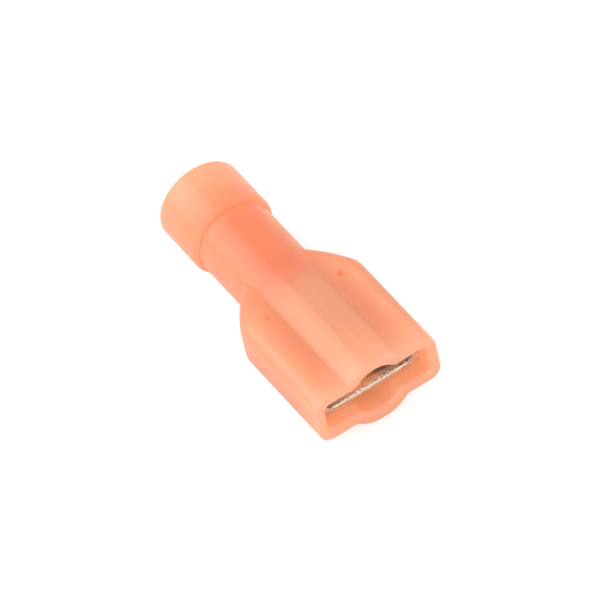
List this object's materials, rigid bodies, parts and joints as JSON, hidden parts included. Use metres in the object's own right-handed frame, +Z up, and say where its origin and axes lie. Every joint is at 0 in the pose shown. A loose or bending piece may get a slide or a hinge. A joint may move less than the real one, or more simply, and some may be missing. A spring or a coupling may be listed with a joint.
{
  "type": "female spade terminal",
  "caption": "Fully insulated push-on wire terminal: a folded tin-plated receptacle with rolled sides and a crimp barrel, inside a translucent nylon housing with a bell at the wire end.",
  "frame": {"origin": "on the surface that the part lies on, under the middle of its length", "axes": "+X along the axis from the wire end to the tab mouth, +Y across the wings, +Z up, out of the wings' flat top"},
  "size_m": [0.0202, 0.0088, 0.0058],
  "materials": {
    "nylon": "satin moulded nylon, slightly translucent",
    "tinned_brass": "tin plated"
  },
  "bodies": {
    "root": {"insulator": "nylon", "terminal": "tinned_brass"}
  },
  "joints": []
}
